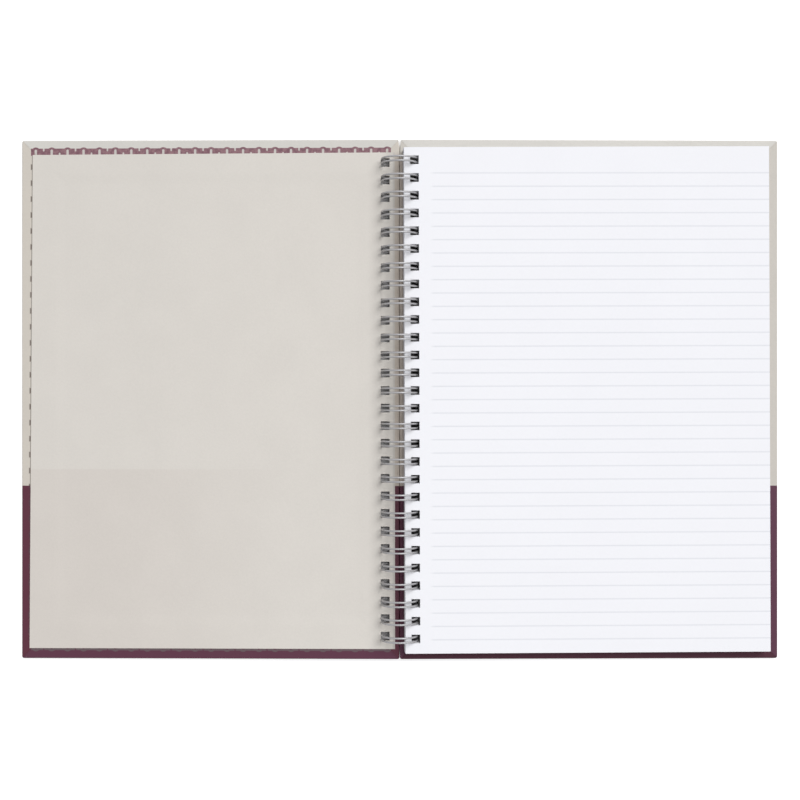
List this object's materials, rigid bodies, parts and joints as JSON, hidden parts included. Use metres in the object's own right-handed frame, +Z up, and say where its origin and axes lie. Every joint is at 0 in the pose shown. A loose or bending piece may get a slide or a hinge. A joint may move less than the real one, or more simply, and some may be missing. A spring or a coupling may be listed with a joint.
{
  "type": "open spiral notebook",
  "caption": "Hardcover wire-bound notebook lying open flat; its covered boards and its block of ruled leaves turn about the loops of the wire.",
  "frame": {"origin": "on the table below the loops' axis, halfway along the spine", "axes": "+X from the spine towards the outer edge of the page side, +Y along the spine towards the top of the notebook, +Z up"},
  "size_m": [0.3662, 0.251, 0.0178],
  "materials": {
    "grey_board": "matt grey board",
    "covering": "satin printed paper, beige above and burgundy below",
    "endpaper": "matt warm grey paper",
    "page_paper": "smooth white ruled paper",
    "wire": "satin silver coated steel wire"
  },
  "bodies": {
    "back_cover": {"back_board": "grey_board", "back_covering": "covering", "back_endpaper": "endpaper", "twin_loop_wire": "wire"},
    "front_cover": {"front_board": "grey_board", "front_covering": "covering", "front_endpaper": "endpaper"},
    "pages": {"page_block": "page_paper"}
  },
  "joints": [
    {"name": "front_cover_hinge", "type": "hinge", "parent": "back_cover", "child": "front_cover", "pos_m": [0, 0, 0.00892], "axis": [0, 1, 0], "range_deg": [0, 181.8]},
    {"name": "pages_turn", "type": "hinge", "parent": "back_cover", "child": "pages", "pos_m": [0, 0, 0.00892], "axis": [0, -1, 0], "range_deg": [0, 181.8]}
  ]
}
